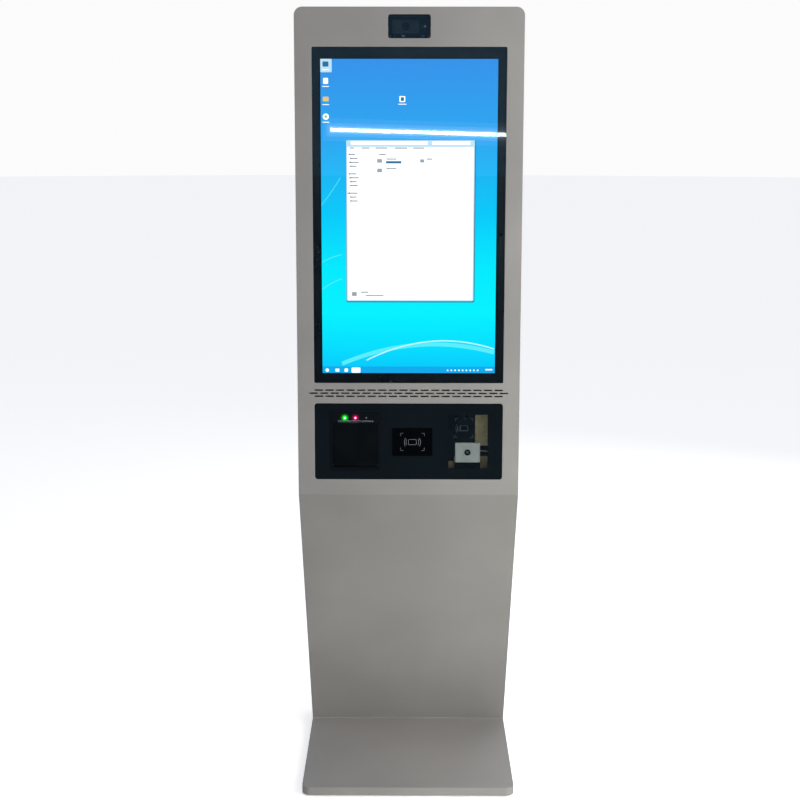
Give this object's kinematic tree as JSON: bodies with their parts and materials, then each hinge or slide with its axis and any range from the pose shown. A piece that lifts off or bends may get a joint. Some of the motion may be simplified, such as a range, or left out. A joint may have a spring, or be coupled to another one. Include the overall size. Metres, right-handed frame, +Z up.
{
  "type": "ticket vending machine",
  "caption": "Floor-standing self-service ticket kiosk: upright touch screen head with printer, card reader and scanner, on a raked leg and flat base.",
  "frame": {"origin": "on the floor, in the middle of the base's outline", "axes": "+Z up, the screen faces -Y, +X to the right as seen from the front"},
  "size_m": [0.502, 0.57, 1.82],
  "materials": {
    "painted_steel": "silver-grey powder coat, fine texture",
    "frame_steel": "dark primer",
    "bare_steel": "zinc plated",
    "screen_shell": "plain sheet",
    "supply_shell": "perforated sheet",
    "pin_steel": "bright",
    "pad_rubber": "matt black",
    "cover_glass": "clear, black printed border",
    "window_glass": "clear",
    "lit_screen": "lit picture",
    "black_acrylic": "gloss black",
    "black_plastic": "moulded satin black",
    "optic": "polished black",
    "platen_rubber": "ground rubber",
    "head_alloy": "cast",
    "ticket_paper": "thermal paper",
    "green_lamp": "lit green",
    "red_lamp": "lit red",
    "dark_lamp": "unlit",
    "fibreboard": "buff board",
    "scanner_shell": "silver-grey",
    "computer_shell": "black anodised, finned",
    "switch_red": "red",
    "socket_metal": "plated shell",
    "cable_skin": "black sheath"
  },
  "bodies": {
    "cabinet": {"face_panel": "painted_steel", "leg_front_panel": "painted_steel", "left_side_panel": "painted_steel", "right_side_panel": "painted_steel", "top_cover": "painted_steel", "rear_frame": "painted_steel", "leg_rear_panel": "painted_steel", "access_cover": "painted_steel", "cover_screws": "bare_steel", "base_cover": "painted_steel", "base_plate": "frame_steel", "foot_pads": "pad_rubber", "head_frame": "frame_steel", "leg_frame": "frame_steel", "cover_glass": "cover_glass", "screen_gasket": "pad_rubber", "screen_panel": "lit_screen", "screen_housing": "screen_shell", "screen_bars": "bare_steel", "camera_window": "window_glass", "camera_bracket": "frame_steel", "camera_body": "black_plastic", "camera_lens": "optic", "infrared_lamp": "optic", "speakers": "black_plastic", "control_panel": "black_acrylic", "printer_bezel": "black_plastic", "printer_case": "black_plastic", "printer_door_pin": "pin_steel", "print_head": "head_alloy", "tear_bar": "bare_steel", "power_lamp": "green_lamp", "fault_lamp": "red_lamp", "paper_lamp": "dark_lamp", "card_reader_case": "black_plastic", "card_reader_cover": "black_acrylic", "scanner_window": "window_glass", "scanner_tray": "black_plastic", "scanner_board": "fibreboard", "id_reader": "black_plastic", "scanner_body": "scanner_shell", "scanner_lens": "optic", "hinge_leaves": "bare_steel", "hinge_pins": "pin_steel", "mounting_plate": "bare_steel", "computer": "computer_shell", "power_supply": "supply_shell", "fan_frame": "black_plastic", "power_inlet": "black_plastic", "network_socket": "socket_metal", "wiring": "cable_skin"},
    "rear_door": {"rear_door": "painted_steel", "hinge_straps": "bare_steel", "lock_barrel": "pin_steel"},
    "lock_plug": {"lock_plug": "pin_steel"},
    "printer_door": {"printer_door": "black_plastic"},
    "platen_roller": {"platen_roller": "platen_rubber"},
    "paper_roll": {"paper_roll": "ticket_paper"},
    "fan_rotor": {"fan_rotor": "black_plastic"},
    "rocker_switch": {"rocker_switch": "switch_red"}
  },
  "joints": [
    {"name": "rear_door_hinge", "type": "hinge", "parent": "cabinet", "child": "rear_door", "pos_m": [-0.225, -0.1257, 1.2281], "axis": [0, 0, 1], "range_deg": [0, 110]},
    {"name": "lock_turn", "type": "hinge", "parent": "rear_door", "child": "lock_plug", "pos_m": [0.195, -0.13, 1.2281], "axis": [0, 1, 0], "range_deg": [-90, 0]},
    {"name": "printer_door_hinge", "type": "hinge", "parent": "cabinet", "child": "printer_door", "pos_m": [-0.1205, -0.278, 0.802], "axis": [1, 0, 0], "range_deg": [0, 85]},
    {"name": "platen_spin", "type": "hinge", "parent": "printer_door", "child": "platen_roller", "pos_m": [-0.1205, -0.268, 0.8916], "axis": [1, 0, 0], "continuous": true},
    {"name": "paper_spin", "type": "hinge", "parent": "cabinet", "child": "paper_roll", "pos_m": [-0.1205, -0.229, 0.8336], "axis": [1, 0, 0], "continuous": true},
    {"name": "fan_spin", "type": "hinge", "parent": "cabinet", "child": "fan_rotor", "pos_m": [0, -0.145, 1.749], "axis": [0, 1, 0], "continuous": true},
    {"name": "rocker_tilt", "type": "hinge", "parent": "cabinet", "child": "rocker_switch", "pos_m": [0.051, -0.132, 0.7267], "axis": [1, 0, 0], "range_deg": [-18, 0]}
  ],
  "couplings": [
    {"joint": "platen_spin", "follows": "paper_spin", "ratio": -6.1667}
  ]
}
